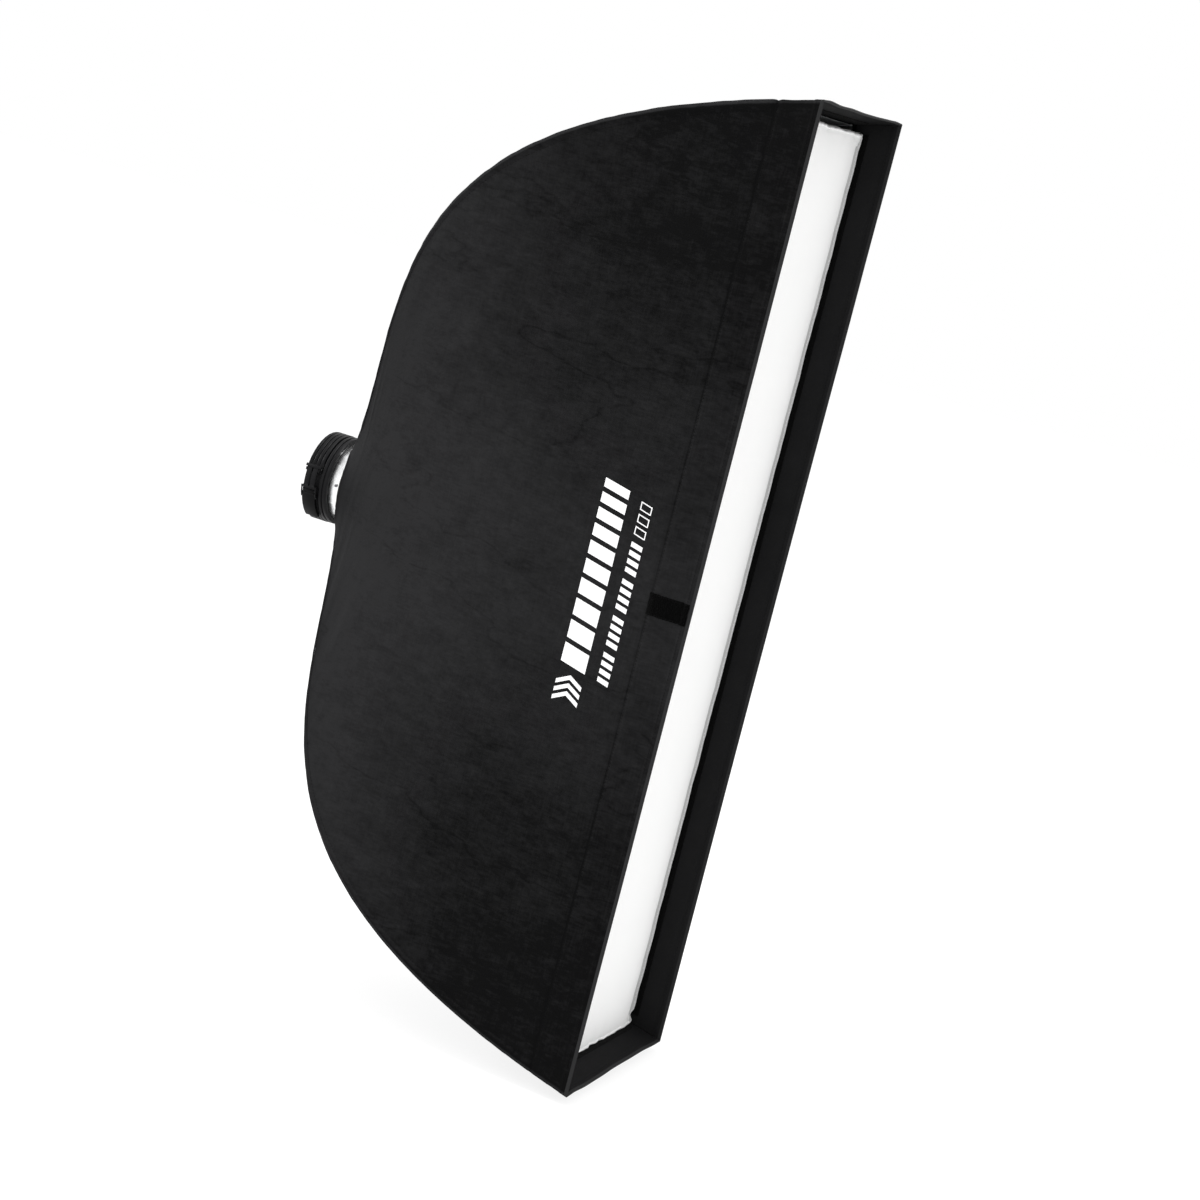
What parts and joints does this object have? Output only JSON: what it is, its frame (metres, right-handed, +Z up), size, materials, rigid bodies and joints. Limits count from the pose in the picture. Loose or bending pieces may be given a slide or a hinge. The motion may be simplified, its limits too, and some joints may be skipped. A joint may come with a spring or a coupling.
{
  "type": "strip softbox",
  "caption": "Tall narrow strip softbox on a turning speedring, with a clamp collar for a studio lamp head and a recessed white diffuser behind a black lip.",
  "frame": {"origin": "centre of the collar's rear face, where a lamp head goes in", "axes": "+Y is the way the light leaves, from the collar to the front rim; +Z runs up the long side of the softbox; +X runs across its short side, to the left of someone who looks out of it with the light"},
  "size_m": [0.308, 0.587, 1.22],
  "materials": {
    "black_cloth": "matt woven nylon",
    "silver_cloth": "metallised woven cloth",
    "black_tape": "matt loop tape",
    "black_webbing": "woven webbing",
    "white_cloth": "matt diffusion cloth",
    "white_hook_tape": "matt sewn tape",
    "brushed_aluminium": "turned",
    "socket_aluminium": "satin",
    "rod_steel": "drawn spring steel",
    "steel": "satin",
    "washer_plastic": "smooth",
    "rubber": "matt",
    "black_plastic": "fine moulded grain"
  },
  "bodies": {
    "mount_collar": {"adapter_neck": "brushed_aluminium", "head_liner": "rubber", "clamp_sleeve": "black_plastic", "clamp_band": "black_plastic", "latch_pivot_pin": "steel", "neck_stop_screw": "steel", "rear_washer": "washer_plastic", "front_washer": "washer_plastic", "retaining_ring": "steel"},
    "latch_lever": {"latch_lever": "black_plastic", "latch_link_pin": "steel"},
    "latch_link": {"latch_link": "black_plastic"},
    "softbox": {"speedring_body": "black_plastic", "rod_socket_left_top": "socket_aluminium", "rod_socket_left_bottom": "socket_aluminium", "rod_socket_right_top": "socket_aluminium", "rod_socket_right_bottom": "socket_aluminium", "socket_screw_left_top": "steel", "socket_screw_left_bottom": "steel", "socket_screw_right_top": "steel", "socket_screw_right_bottom": "steel", "rod_left_top": "rod_steel", "rod_left_bottom": "rod_steel", "rod_right_top": "rod_steel", "rod_right_bottom": "rod_steel", "rod_pocket_left_top": "black_tape", "rod_pocket_left_bottom": "black_tape", "rod_pocket_right_top": "black_tape", "rod_pocket_right_bottom": "black_tape", "side_panel_left": "black_cloth", "side_panel_right": "black_cloth", "end_panel_top": "black_cloth", "end_panel_bottom": "black_cloth", "side_lining_left": "silver_cloth", "side_lining_right": "silver_cloth", "end_lining_top": "silver_cloth", "end_lining_bottom": "silver_cloth", "side_lip_left": "black_cloth", "side_lip_right": "black_cloth", "end_lip_top": "black_cloth", "end_lip_bottom": "black_cloth", "side_tape_left": "black_tape", "side_tape_right": "black_tape", "end_tape_top": "black_tape", "end_tape_bottom": "black_tape", "rim_binding": "black_cloth", "loop_patch_left": "black_tape", "loop_patch_right": "black_tape", "rear_hem_binding": "black_cloth", "inner_diffuser": "white_cloth", "diffuser_tab_left_top": "black_webbing", "diffuser_tab_left_bottom": "black_webbing", "diffuser_tab_right_top": "black_webbing", "diffuser_tab_right_bottom": "black_webbing", "diffuser_tab_top": "black_webbing", "diffuser_tab_bottom": "black_webbing"},
    "front_diffuser": {"front_diffuser_border": "white_hook_tape", "front_diffuser_sheet": "white_cloth"}
  },
  "joints": [
    {"name": "lever_hinge", "type": "hinge", "parent": "mount_collar", "child": "latch_lever", "pos_m": [0.05666, 0.0115, -0.01571], "axis": [0, -1, 0], "range_deg": [0, 100]},
    {"name": "link_hinge", "type": "hinge", "parent": "latch_lever", "child": "latch_link", "pos_m": [0.05353, 0.0115, -0.02383], "axis": [0, -1, 0], "range_deg": [-84, 0]},
    {"name": "speedring_turn", "type": "hinge", "parent": "mount_collar", "child": "softbox", "pos_m": [0, 0.06, 0], "axis": [0, 1, 0], "continuous": true},
    {"name": "diffuser_pull", "type": "slide", "parent": "softbox", "child": "front_diffuser", "axis": [0, 1, 0], "range_m": [0, 0.1]}
  ],
  "couplings": [
    {"joint": "link_hinge", "follows": "lever_hinge", "ratio": -0.825}
  ]
}
